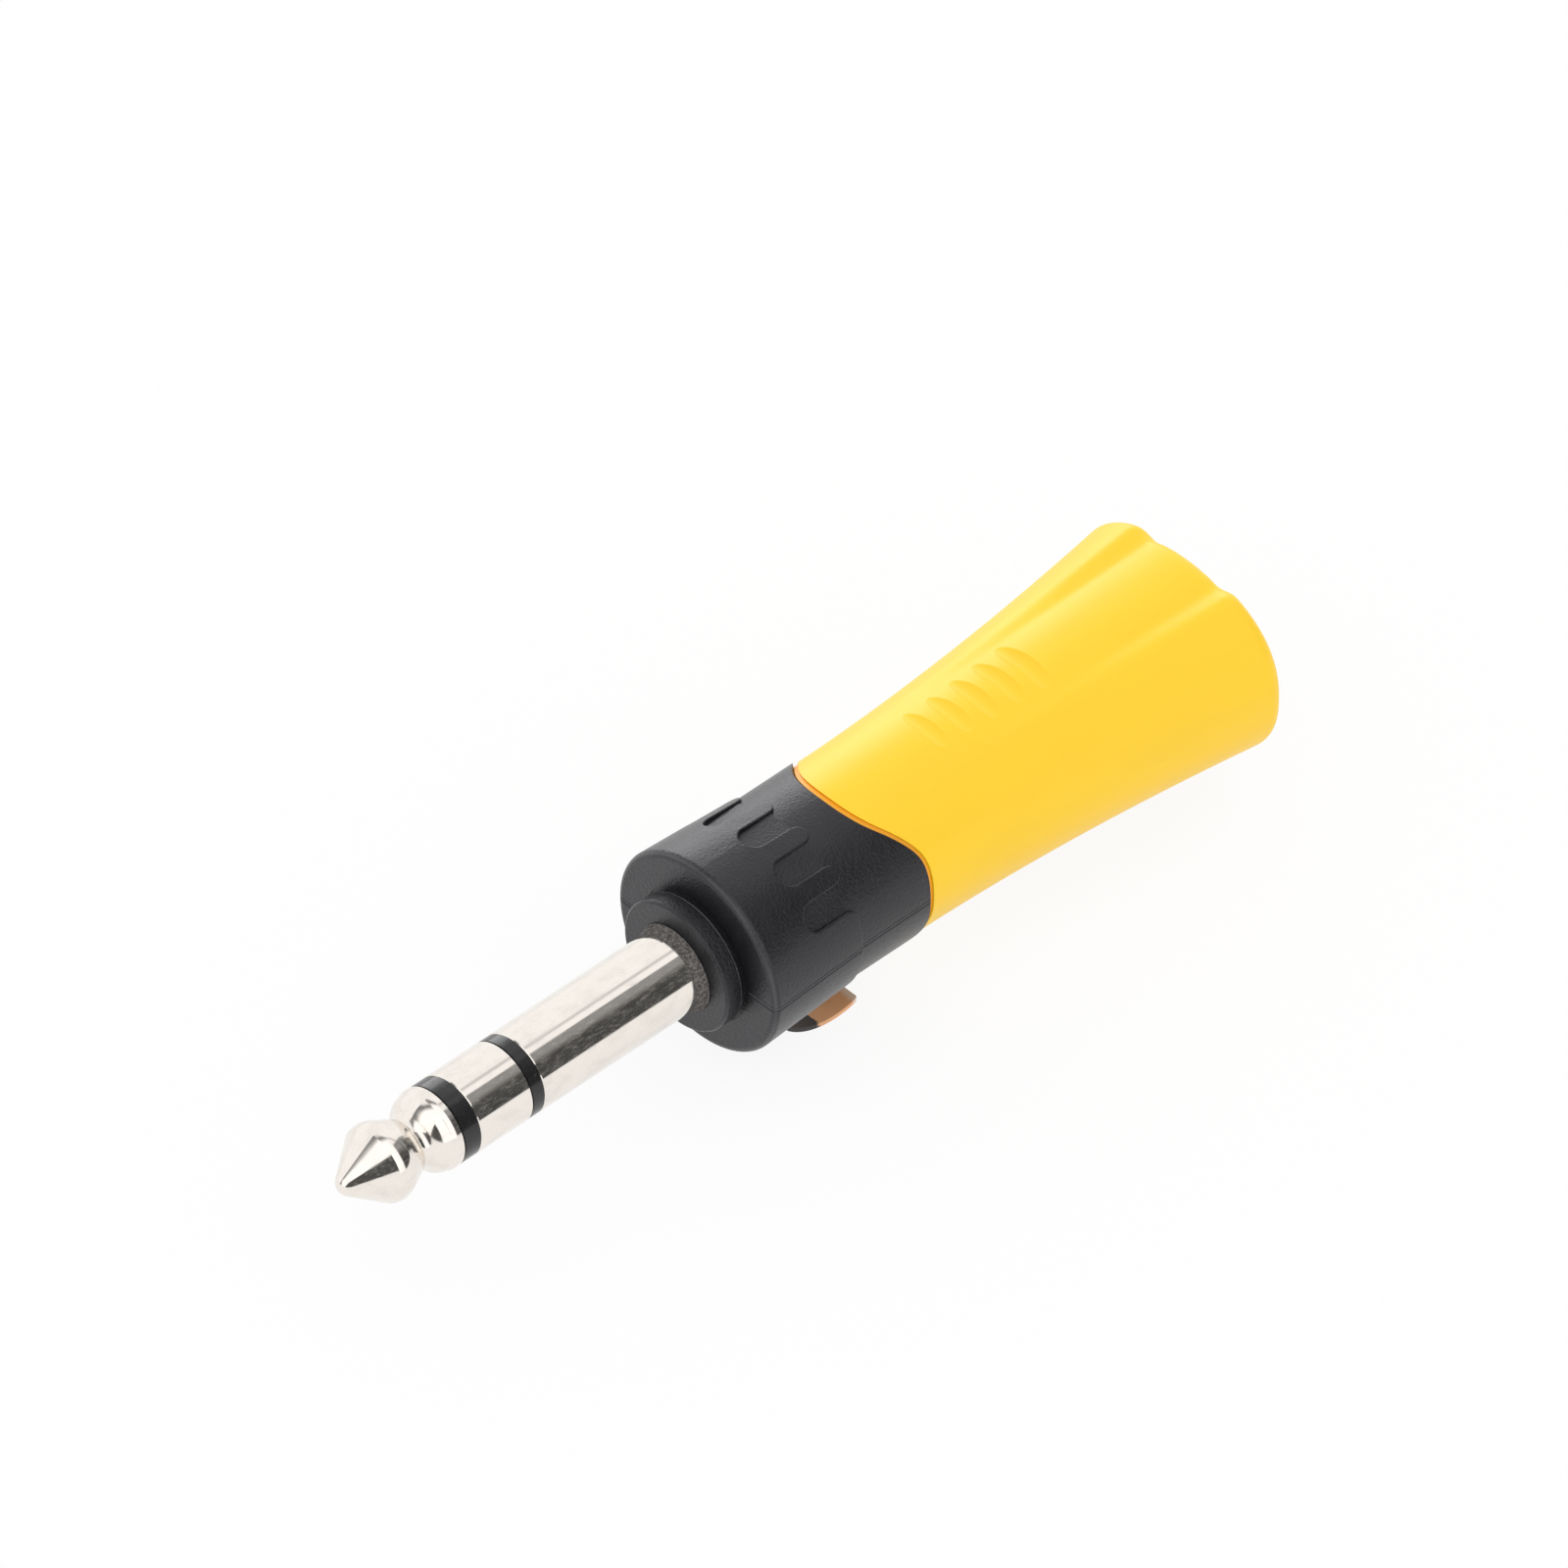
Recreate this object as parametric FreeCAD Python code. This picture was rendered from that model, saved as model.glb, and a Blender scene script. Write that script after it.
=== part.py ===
import FreeCAD, Part
import math
import os

# Straight cable jack plug with three contacts, a moulded head and a flared tail.
# The plug runs along X. The origin is on its axis, at the shoulder where the sleeve meets
# the collar. +X points to the tip, +Z to the upper grip panel. Sizes are millimetres.

# Clearances
fit_gap = 0.05          # between turned pieces that fit in one another
seat_gap = 0.10         # between moulded pieces that fit in one another
latch_gap = 0.20        # between the latch leaf and the head around it
joint_gap = 0.06        # visible line between head and tail

# Plug contacts, from the shoulder to the tip
plug_d = 6.35
sleeve_len = 14.4
rear_insulator_len = 1.0
ring_len = 5.0
front_insulator_len = 1.42
tip_len = 9.08
insulator_step = 0.02   # how far the insulators stand below the contacts
band_chamfer = 0.14
tip_collar_len = 0.55   # straight part of the tip contact, behind its neck
tip_edge_len = 0.38     # rounded front edge of that part
tip_edge_drop = 0.12
tip_shoulder_bulge = 0.2    # how much the shoulder between that part and the neck is rounded
tip_neck_d = 4.1
tip_neck_x = 2.65       # neck, measured from the rear of the tip contact
tip_neck_half = 0.5     # rounded part of the neck, to either side
tip_neck_rise = 0.2
tip_bulb_d = 6.10
tip_bulb_x = 5.18       # widest place of the tip, measured likewise
tip_bulb_round = 1.8    # radius of the round over it
tip_bulb_rear = 0.95    # how far that round reaches back
tip_bulb_front = 0.6    # and forward
tip_nose_r = 1.0
tip_nose_angle = 55.0   # from the axis, where the cone meets the nose
tip_rod_depth = 6.0     # how far the rod reaches into the tip contact

# Rod, tubes and walls inside the plug
rod_d = 1.6
rod_tube_wall = 0.35
ring_stem_wall = 0.50
ring_tube_wall = 0.40
shank_wall = 0.75       # sleeve inside the collar and the head

# Collar and head
collar_len = 0.95
collar_step = 0.05      # above the sleeve
collar_flare = 0.35     # from its front to its rear, in radius
collar_nose = 0.05
boss_d = 10.36
boss_len = 2.0
boss_round = 0.22
boss_groove_len = 0.5   # groove between the boss and the head's face
boss_groove_depth = 0.35
boss_edge_round = 0.1   # rear edge of the boss, at the groove
boss_root_gap = 0.1     # recess in the head's face, round the boss
boss_root_depth = 0.1
head_rear_d = 14.66
grip_step = 0.22        # height of the finger ends over the rear of the head
head_taper = 0.40       # how much the front is wider than the finger ends, in radius
head_taper_len = 8.75   # from the head's face to the finger ends
head_rim_round = 0.5
head_wall_x = 5.0       # inner face of the head's front wall, behind the origin
head_bore_d = 9.2
finger_count = 13       # fingers in a full turn
pocket_reach = 80.0     # degrees from the top within which there are pockets
finger_width = 1.45     # at the floor of the pockets
pocket_len = 4.4        # from the finger ends to the front of the pockets
grip_round = 0.12

# Wavy joint between head and tail
joint_x = 16.67         # mean place of the joint behind the origin
joint_wave = 2.1        # parts of the wave with two, four and six crests in a turn
joint_wave_four = 0.28
joint_wave_six = -0.2
joint_grid = 15         # points each way of the surface that the joint lies on
joint_span = 1.4        # half width of that surface, as a share of the head's radius
joint_fade = 1.2        # the wave grows outwards up to here, likewise
spigot_wall = 1.4
spigot_end_x = 24.9     # rear end of the spigot behind the origin
seal_wire_d = 0.7
seal_x = 20.6

# Tail
tail_step = 0.15        # how far the tail's front stands below the head
tail_flare_x = 18.0     # where the tail starts to widen
tail_end_x = 50.0
tail_end_w = 19.5
tail_end_h = 15.5
tail_end_power = 2.35   # 2 is an ellipse, more is squarer
tail_flare_power = 1.8
tail_edge_round = 1.2
tail_outline_points = 72
tail_steps = 9          # sections between the start of the flare and the rear rim
rim_steps = 5           # sections round the rear rim
lip_len = 0.45
lip_depth = 0.14
cable_d = 7.0           # bore for the cable
mouth_flare = 2.2       # from the cable bore to the mouth, in radius
mouth_len = 8.5

# Grip panels, one above and one below
panel_start_x = 20.0
panel_depth = 0.8       # at the rear end
panel_power = 1.5
panel_crown = 0.35      # share of that depth by which the middle of a panel stands higher
panel_flat = 0.37       # half width of the sunk part, as a share of the tail's half width
panel_ridge = 0.54      # where the panel meets the round side, likewise
scoop_count = 5
scoop_x = 24.8
scoop_pitch = 2.32
scoop_r = 1.3
scoop_depth = 0.22
scoop_growth = 0.02     # each scoop is that much deeper than the one before
scoop_arc_r = 20.0
scoop_lean = 25.0

# Terminals inside the head
washer_len = 0.4
washer_gap = 0.2        # to the head's bore, all round
nut_len = 2.0
nut_flats = 7.5
lug_len = 0.45
lug_washer_len = 0.8
lug_washer_d = 4.6
ring_lug_d = 5.8
sleeve_lug_gap = 0.6    # to the head's bore, all round
rivet_d = 2.6
rivet_len = 0.6
tab_len = 6.0
tab_width = 2.2
tab_hole_d = 1.2
arm_len = 16.0
arm_width = 2.4
arm_gap = 0.2           # to the ring's lug
clamp_len = 4.0
clamp_wall = 0.45
lining_wall = 0.35
lining_len = 12.0

# Cable grip inside the tail
chuck_len = 9.5
chuck_taper = 0.9       # from its front to its rear, in radius
chuck_bore_gap = 0.2    # more than the cable bore, all round
chuck_slot = 1.0
chuck_slot_count = 3
chuck_ring_len = 2.4    # unslotted front of the chuck
cable_seal_len = 2.0
cable_seal_wall = 1.4

# Latch below the head
pin_d = 0.8
pin_hold = 1.4          # length of the pin in the head, at either side of the eye
pin_x = 6.4
leaf_t = 0.35
leaf_width = 8.4
leaf_bend_r = 6.74
leaf_low_x = 12.25      # where the leaf is lowest
leaf_drop = 2.13        # below the rear of the head
leaf_tail_len = 2.05    # from the lowest point to the free end
leaf_neck_x = 7.7       # where the leaf widens
leaf_corner_r = 0.2
eye_width = 4.8
latch_pocket_depth = 0.73   # below the rear of the head
latch_pocket_side = 0.3     # beside the leaf
latch_pocket_front = 0.4    # before the place where the leaf widens

# Places worked out from the sizes above
plug_r = plug_d / 2
rear_insulator_x = sleeve_len
ring_x = rear_insulator_x + rear_insulator_len
front_insulator_x = ring_x + ring_len
tip_x = front_insulator_x + front_insulator_len
tip_end_x = tip_x + tip_len
rod_r = rod_d / 2
rod_tube_in = rod_r + fit_gap
rod_tube_out = rod_tube_in + rod_tube_wall
ring_stem_in = rod_tube_out + fit_gap
ring_stem_out = ring_stem_in + ring_stem_wall
ring_tube_in = ring_stem_out + fit_gap
ring_tube_out = ring_tube_in + ring_tube_wall
sleeve_bore = ring_tube_out + fit_gap
shank_r = sleeve_bore + shank_wall
lug_bore_r = shank_r - fit_gap
boss_x = -collar_len
head_face_x = boss_x - boss_len
head_step_x = head_face_x - head_taper_len
head_rear_r = head_rear_d / 2
head_step_r = head_rear_r + grip_step
head_front_r = head_step_r + head_taper
head_bore_r = head_bore_d / 2
spigot_r = head_bore_r + spigot_wall
washer_x = -head_wall_x
nut_x = washer_x - washer_len
shank_end_x = nut_x - nut_len
sleeve_lug_x = shank_end_x
front_washer_x = sleeve_lug_x - lug_len
ring_lug_x = front_washer_x - lug_washer_len
rear_washer_x = ring_lug_x - lug_len
tip_lug_x = rear_washer_x - lug_washer_len
rivet_x = tip_lug_x - lug_len
tail_front_r = head_rear_r - tail_step
cable_r = cable_d / 2
chuck_rear_r = spigot_r - chuck_taper
cable_seal_r = cable_r + cable_seal_wall
chuck_x = -spigot_end_x - fit_gap
chuck_end_x = chuck_x - chuck_len
seal_front_x = chuck_end_x - fit_gap
seal_end_x = seal_front_x - cable_seal_len
leaf_centre_x = -leaf_low_x
leaf_centre_z = -(head_rear_r + leaf_drop) + leaf_bend_r
pin_reach = leaf_centre_x + pin_x
pin_z = leaf_centre_z - math.sqrt(leaf_bend_r ** 2 - pin_reach ** 2)
pin_len = eye_width + 2 * pin_hold
eye_r = pin_d / 2 + fit_gap + leaf_t
reach = tail_end_x + sleeve_len     # past the end of any piece

X_AXIS = FreeCAD.Vector(1, 0, 0)
Y_AXIS = FreeCAD.Vector(0, 1, 0)
ORIGIN = FreeCAD.Vector(0, 0, 0)


def turned(start, *steps):
    """Solid of revolution about X. Points are (x, radius); a step of four numbers is an arc
    given by a point on the way and its end."""
    here = FreeCAD.Vector(start[0], 0, start[1])
    first = here
    edges = []
    for step in steps:
        there = FreeCAD.Vector(step[-2], 0, step[-1])
        if len(step) == 4:
            middle = FreeCAD.Vector(step[0], 0, step[1])
            edges.append(Part.Arc(here, middle, there).toShape())
        else:
            edges.append(Part.LineSegment(here, there).toShape())
        here = there
    edges.append(Part.LineSegment(here, first).toShape())
    return Part.Face(Part.Wire(edges)).revolve(ORIGIN, X_AXIS, 360)


def tube(x_a, x_b, r_out, r_in=0.0):
    """Round bar or tube along X between two places."""
    low = min(x_a, x_b)
    length = abs(x_a - x_b)
    solid = Part.makeCylinder(r_out, length, FreeCAD.Vector(low, 0, 0), X_AXIS)
    if r_in > 0:
        solid = solid.cut(Part.makeCylinder(r_in, length, FreeCAD.Vector(low, 0, 0), X_AXIS))
    return solid


def box(x_a, x_b, y_a, y_b, z_a, z_b):
    """Block between two corners."""
    corner = FreeCAD.Vector(min(x_a, x_b), min(y_a, y_b), min(z_a, z_b))
    return Part.makeBox(abs(x_a - x_b), abs(y_a - y_b), abs(z_a - z_b), corner)


def around(solid, degrees):
    """Copy turned about the plug's axis."""
    copy = solid.copy()
    copy.rotate(ORIGIN, X_AXIS, degrees)
    return copy


def corner_arc(centre_x, centre_r, radius, from_deg, to_deg):
    """Step of turned() that follows a circle round its centre from one angle to another."""
    middle = math.radians((from_deg + to_deg) / 2)
    end = math.radians(to_deg)
    return (
        centre_x + radius * math.cos(middle),
        centre_r + radius * math.sin(middle),
        centre_x + radius * math.cos(end),
        centre_r + radius * math.sin(end),
    )


def joint_place(y, z):
    """Where the wavy joint lies along X at one place across the axis."""
    share = min(math.hypot(y, z) / head_rear_r, joint_fade)
    angle = math.atan2(y, z)
    wave = joint_wave * share ** 2 * math.cos(2 * angle)
    wave += joint_wave_four * share ** 4 * math.cos(4 * angle)
    wave += joint_wave_six * share ** 6 * math.cos(6 * angle)
    return wave - joint_x


def wave_block(shift, length):
    """Everything that far past the wavy joint: towards the tip where length is positive."""
    span = joint_span * head_rear_r
    places = [span * (2 * index / (joint_grid - 1) - 1) for index in range(joint_grid)]
    surface = Part.BSplineSurface()
    surface.interpolate([
        [FreeCAD.Vector(joint_place(y, z) + shift, y, z) for z in places] for y in places])
    return surface.toShape().extrude(FreeCAD.Vector(length, 0, 0))


def save(name, solid):
    """Check one piece and write it."""
    if solid.ShapeType == "Compound" and len(solid.Solids) == 1:
        solid = solid.Solids[0]
    if not solid.isValid() or len(solid.Solids) != 1:
        raise ValueError(f"{name}: {len(solid.Solids)} solids, valid {solid.isValid()}")
    solid.exportStep(f"parts/{name}.step")


def tip_contact():
    """Turned tip with collar, neck, bulb and rounded nose, bored for the rod."""
    neck_x = tip_x + tip_neck_x
    bulb_x = tip_x + tip_bulb_x
    neck_r = tip_neck_d / 2
    bulb_r = tip_bulb_d / 2
    collar_end = tip_x + tip_collar_len
    edge_middle = (collar_end + tip_edge_len / 2, plug_r - tip_edge_drop / 4)
    nose_x = tip_end_x - tip_nose_r
    shoulder = (collar_end + tip_edge_len, plug_r - tip_edge_drop)
    flank = (neck_x - tip_neck_half, neck_r + tip_neck_rise)
    shoulder_middle = ((shoulder[0] + flank[0]) / 2,
                       (shoulder[1] + flank[1]) / 2 + tip_shoulder_bulge)
    round_r = bulb_r - tip_bulb_round
    rear_r = round_r + math.sqrt(tip_bulb_round ** 2 - tip_bulb_rear ** 2)
    front_r = round_r + math.sqrt(tip_bulb_round ** 2 - tip_bulb_front ** 2)
    angle = math.radians(tip_nose_angle)
    solid = turned(
        (tip_x, 0),
        (tip_x, plug_r - band_chamfer),
        (tip_x + band_chamfer, plug_r),
        (collar_end, plug_r),
        (*edge_middle, *shoulder),
        (*shoulder_middle, *flank),
        (neck_x, neck_r, neck_x + tip_neck_half, flank[1]),
        (bulb_x - tip_bulb_rear, rear_r),
        (bulb_x, bulb_r, bulb_x + tip_bulb_front, front_r),
        (nose_x + tip_nose_r * math.cos(angle), tip_nose_r * math.sin(angle)),
        corner_arc(nose_x, 0, tip_nose_r, tip_nose_angle, 0),
    )
    return solid.cut(tube(tip_x, tip_x + tip_rod_depth, rod_r))


def centre_rod():
    """Rod that carries the tip contact, riveted over the tip's lug at the rear."""
    rod = tube(tip_x + tip_rod_depth, rivet_x, rod_r)
    return rod.fuse(tube(rivet_x, rivet_x - rivet_len, rivet_d / 2)).removeSplitter()


def rod_tube():
    """Insulating tube between the rod and the ring contact's stem."""
    return tube(front_insulator_x, rear_washer_x, rod_tube_out, rod_tube_in)


def front_insulator():
    """Insulating band between tip and ring contact."""
    return tube(front_insulator_x, tip_x, plug_r - insulator_step, rod_tube_in)


def band(x_a, x_b, bore_r):
    """Contact band with small chamfers at both ends."""
    solid = turned(
        (x_a, bore_r),
        (x_a, plug_r - band_chamfer),
        (x_a + band_chamfer, plug_r),
        (x_b - band_chamfer, plug_r),
        (x_b, plug_r - band_chamfer),
        (x_b, bore_r),
    )
    return solid


def ring_contact():
    """Ring band with its stem, which runs back to the ring's lug."""
    solid = band(ring_x, front_insulator_x, ring_stem_in)
    stem = tube(ring_x, rear_washer_x, ring_stem_out, ring_stem_in)
    return solid.fuse(stem).removeSplitter()


def ring_tube():
    """Insulating tube between the ring's stem and the sleeve."""
    return tube(rear_insulator_x, shank_end_x, ring_tube_out, ring_tube_in)


def rear_insulator():
    """Insulating band between ring and sleeve contact."""
    return tube(rear_insulator_x, ring_x, plug_r - insulator_step, ring_tube_in)


def sleeve_contact():
    """Sleeve with a thinner shank through the collar and the head."""
    solid = turned(
        (shank_end_x - lug_len, sleeve_bore),
        (shank_end_x - lug_len, lug_bore_r - fit_gap),
        (shank_end_x, lug_bore_r - fit_gap),
        (shank_end_x, shank_r),
        (0, shank_r),
        (0, plug_r),
        (sleeve_len - band_chamfer, plug_r),
        (sleeve_len, plug_r - band_chamfer),
        (sleeve_len, sleeve_bore),
    )
    return solid


def sleeve_collar():
    """Rough conical ring between the shoulder of the sleeve and the head."""
    front_r = plug_r + collar_step
    return turned(
        (0, shank_r + fit_gap),
        (0, front_r - collar_nose),
        (-collar_nose, front_r),
        (-collar_len / 2, front_r + collar_flare / 3),
        (-collar_len, front_r + collar_flare),
        (-collar_len, shank_r + fit_gap),
    )


def grip_cutter():
    """Everything outside the pocket floor between the fingers of the front zone."""
    floor = head_rear_r
    outer = 2 * head_front_r
    period = 360.0 / finger_count
    pocket_width = 2 * math.pi * floor / finger_count - finger_width
    pocket_r = pocket_width / 2
    pocket_front = head_step_x + pocket_len
    back = -joint_x - reach
    tools = []
    last = int(pocket_reach / period)
    for index in range(-last, last + 1):
        slot = box(pocket_front - pocket_r, back, -pocket_r, pocket_r, floor, outer)
        slot = slot.fuse(Part.makeCylinder(
            pocket_r, outer - floor, FreeCAD.Vector(pocket_front - pocket_r, 0, floor)))
        tools.append(around(slot, index * period))
    end_r = finger_width / 2
    rear = tube(head_step_x + end_r, back, outer, floor)
    for index in range(-last - 1, last + 1):
        finger_end = Part.makeCylinder(
            end_r, outer, FreeCAD.Vector(head_step_x + end_r, 0, 0))
        rear = rear.cut(around(finger_end, (index + 0.5) * period))
    last_finger = (last + 0.5) * period
    under = Part.makeCylinder(outer, end_r, FreeCAD.Vector(head_step_x, 0, 0), X_AXIS,
                              360 - 2 * last_finger)
    tools.append(rear.cut(around(under, last_finger)))
    return tools


def rounded_grip(solid):
    """Round the outer edges of the fingers and pockets."""
    edges = []
    for edge in solid.Edges:
        room = edge.BoundBox
        nearest = min(math.hypot(point.y, point.z) for point in edge.discretize(7))
        behind_front = room.XMax < head_step_x + pocket_len + grip_round
        before_end = room.XMin > head_step_x - grip_round
        if behind_front and before_end and nearest > head_rear_r + grip_round:
            edges.append(edge)
    return solid.makeFillet(grip_round, edges)


def latch_pocket():
    """Room under the head for the latch leaf, its eye and its pin."""
    eye_room = eye_r + latch_gap
    deep = box(-pin_x + eye_room, -leaf_neck_x - latch_gap, -eye_width / 2 - latch_gap,
               eye_width / 2 + latch_gap, pin_z + eye_room, -reach)
    half = leaf_width / 2 + latch_pocket_side
    wide = box(latch_pocket_front - leaf_neck_x, head_step_x, -half, half,
               latch_pocket_depth - head_rear_r, -reach)
    hole = Part.makeCylinder(pin_d / 2, pin_len, FreeCAD.Vector(-pin_x, -pin_len / 2, pin_z), Y_AXIS)
    return deep.fuse([wide, hole])


def head_shell():
    """Moulded head: boss, tapered front with fingers, rear cylinder, wavy edge and spigot."""
    boss_r = boss_d / 2
    groove_x = head_face_x + boss_groove_len
    root_x = head_face_x - boss_root_depth
    rim_x = head_face_x - head_rim_round
    skirt_end = -joint_x - 2 * joint_wave
    solid = turned(
        (boss_x, 0),
        (boss_x, boss_r - boss_round),
        corner_arc(boss_x - boss_round, boss_r - boss_round, boss_round, 0, 90),
        (groove_x + boss_edge_round, boss_r),
        corner_arc(groove_x + boss_edge_round, boss_r - boss_edge_round, boss_edge_round, 90, 180),
        (groove_x, boss_r - boss_groove_depth),
        (root_x, boss_r - boss_groove_depth),
        (root_x, boss_r + boss_root_gap),
        (head_face_x, boss_r + boss_root_gap),
        (head_face_x, head_front_r - head_rim_round),
        corner_arc(rim_x, head_front_r - head_rim_round, head_rim_round, 0, 90),
        (head_step_x, head_step_r),
        (skirt_end, head_step_r),
        (skirt_end, 0),
    )
    solid = rounded_grip(solid.cut(grip_cutter()))
    solid = solid.cut(wave_block(0, -reach))
    solid = solid.fuse(tube(head_step_x, -spigot_end_x, spigot_r))
    solid = solid.cut(tube(-head_wall_x, -reach, head_bore_r))
    solid = solid.cut(tube(0, -reach, shank_r + fit_gap))
    groove_half = seal_wire_d / 2 + fit_gap
    groove = tube(-seal_x - groove_half, -seal_x + groove_half,
                  spigot_r + seal_wire_d, spigot_r + seat_gap - seal_wire_d - fit_gap)
    solid = solid.cut([groove, latch_pocket()])
    return solid


def joint_seal():
    """Rubber ring in the spigot's groove."""
    wire_r = seal_wire_d / 2
    return Part.makeTorus(spigot_r + seat_gap - wire_r - fit_gap / 2, wire_r,
                          FreeCAD.Vector(-seal_x, 0, 0), X_AXIS)


def lock_washer():
    """Washer behind the head's front wall."""
    return tube(washer_x, nut_x, head_bore_r - washer_gap, shank_r + fit_gap)


def lock_nut():
    """Hexagon nut that clamps the head between itself and the collar."""
    corner_r = nut_flats / math.sqrt(3)
    corners = []
    for index in range(7):
        angle = math.radians(60 * index)
        corners.append(FreeCAD.Vector(nut_x, corner_r * math.cos(angle), corner_r * math.sin(angle)))
    hexagon = Part.Face(Part.makePolygon(corners))
    solid = hexagon.extrude(FreeCAD.Vector(-nut_len, 0, 0))
    return solid.cut(tube(nut_x, shank_end_x, shank_r + fit_gap))


def sleeve_lug():
    """Ground lug: disc on the end of the shank, arm and cable clamp."""
    disc_r = head_bore_r - sleeve_lug_gap
    disc = tube(sleeve_lug_x, sleeve_lug_x - lug_len, disc_r, lug_bore_r)
    arm_top = -(ring_lug_d / 2 + arm_gap)
    arm_end = sleeve_lug_x - arm_len
    arm = box(sleeve_lug_x, arm_end, -arm_width / 2, arm_width / 2, arm_top - lug_len, arm_top)
    clamp_r = clamp_wall - arm_top
    clamp = tube(arm_end, arm_end + clamp_len, clamp_r, clamp_r - clamp_wall)
    clamp = clamp.cut(box(arm_end, arm_end + clamp_len, -reach, reach, 0, reach))
    return disc.fuse([arm, clamp]).removeSplitter()


def lug(disc_x, disc_r, bore_r, turn):
    """Flat disc with one solder tab that runs back along the plug's axis."""
    disc = tube(disc_x, disc_x - lug_len, disc_r, bore_r)
    tab = box(disc_x, disc_x - tab_len, -tab_width / 2, tab_width / 2, disc_r - lug_len, disc_r)
    tab = tab.common(tube(disc_x, disc_x - tab_len, math.hypot(disc_r, tab_width / 4)))
    hole = Part.makeCylinder(tab_hole_d / 2, reach,
                             FreeCAD.Vector(disc_x - tab_len + tab_hole_d, 0, 0))
    return around(disc.fuse(tab).cut(hole).removeSplitter(), turn)


def lining_tube():
    """Insulating tube in the head's bore, round the solder tabs."""
    outer = head_bore_r - seat_gap
    start = sleeve_lug_x - lug_len - fit_gap
    return tube(start, start - lining_len, outer, outer - lining_wall)


def smooth_step(value, low, high):
    """0 below low, 1 above high, and a smooth rise between them."""
    share = min(1.0, max(0.0, (value - low) / (high - low)))
    return share * share * (3 - 2 * share)


def panel_sink(x):
    """How deep the grip panels lie at one place along the axis."""
    share = max(0.0, (-panel_start_x - x) / (tail_end_x - panel_start_x))
    return panel_depth * share ** panel_power


def tail_half_size(x):
    """Half width, half height and squareness of the tail at one place along the axis."""
    share = max(0.0, (-tail_flare_x - x) / (tail_end_x - tail_flare_x))
    grow = share ** tail_flare_power
    half_w = tail_front_r + (tail_end_w / 2 - tail_front_r) * grow
    half_h = tail_front_r + (tail_end_h / 2 - tail_front_r) * grow
    return half_w, half_h, 2 + (tail_end_power - 2) * grow


def tail_section(x, inset=0.0):
    """Closed smooth outline of the tail: a rounded form with a sunk panel above and below."""
    half_w, half_h, power = tail_half_size(x)
    points = []
    for index in range(tail_outline_points):
        angle = 2 * math.pi * index / tail_outline_points
        side = abs(math.cos(angle) / half_w) ** power
        height = abs(math.sin(angle) / half_h) ** power
        radius = (side + height) ** (-1 / power)
        across = radius * abs(math.cos(angle)) / half_w
        crown = 1 - panel_crown * (1 - min(1.0, across / panel_flat) ** 2)
        radius -= panel_sink(x) * crown * (1 - smooth_step(across, panel_flat, panel_ridge))
        radius -= inset
        points.append(FreeCAD.Vector(x, radius * math.cos(angle), radius * math.sin(angle)))
    curve = Part.BSplineCurve()
    curve.interpolate(points, PeriodicFlag=True)
    return Part.Wire(curve.toShape())


def tail_blank():
    """Flared outside of the tail with its rounded rear rim, before its cuts."""
    start = -joint_x + 2 * joint_wave
    rim_x = -tail_end_x + tail_edge_round
    places = [start, (start - tail_flare_x) / 2, -tail_flare_x]
    for index in range(1, tail_steps + 1):
        places.append(-tail_flare_x + (rim_x + tail_flare_x) * index / tail_steps)
    body = Part.makeLoft([tail_section(x) for x in places], True, False)
    rim = []
    for index in range(rim_steps + 1):
        angle = math.pi / 2 * index / rim_steps
        inset = tail_edge_round * (1 - math.cos(angle))
        rim.append(tail_section(rim_x - tail_edge_round * math.sin(angle), inset))
    return body.fuse(Part.makeLoft(rim, True, False))


def scoop_cutter(index):
    """Ring section that presses one shallow crescent into the upper grip panel."""
    x = -scoop_x - index * scoop_pitch
    surface = tail_half_size(x)[1] - panel_sink(x) * (1 - panel_crown)
    centre_z = surface - scoop_depth - index * scoop_growth - scoop_arc_r
    ring = Part.makeTorus(scoop_arc_r + scoop_r, scoop_r, FreeCAD.Vector(x, 0, centre_z), X_AXIS)
    top = FreeCAD.Vector(x, 0, centre_z + scoop_arc_r + scoop_r)
    ring.rotate(top, Y_AXIS, -scoop_lean)
    room = box(x - scoop_arc_r, x + scoop_arc_r, -scoop_arc_r / 2, scoop_arc_r / 2, 0, reach)
    return ring.common(room)


def tail_bore():
    """Inside of the tail: spigot bore, chuck cone, seal seat, cable bore and bell mouth."""
    spigot_bore = spigot_r + seat_gap
    chuck_r = chuck_rear_r + seat_gap
    seat_r = cable_seal_r + fit_gap
    bore_end = -tail_end_x + mouth_len
    mouth_r = cable_r + mouth_flare
    sweep_r = (mouth_len ** 2 + mouth_flare ** 2) / (2 * mouth_flare)
    half_angle = math.atan2(mouth_flare, mouth_len)
    middle = (bore_end - sweep_r * math.sin(half_angle), cable_r + sweep_r * (1 - math.cos(half_angle)))
    return turned(
        (0, 0),
        (0, spigot_bore),
        (chuck_x - chuck_ring_len, spigot_bore),
        (chuck_end_x, chuck_r),
        (chuck_end_x, seat_r),
        (seal_end_x, seat_r),
        (seal_end_x, cable_r),
        (bore_end, cable_r),
        (middle[0], middle[1], -tail_end_x, mouth_r),
        (-reach, mouth_r),
        (-reach, 0),
    )


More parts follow.
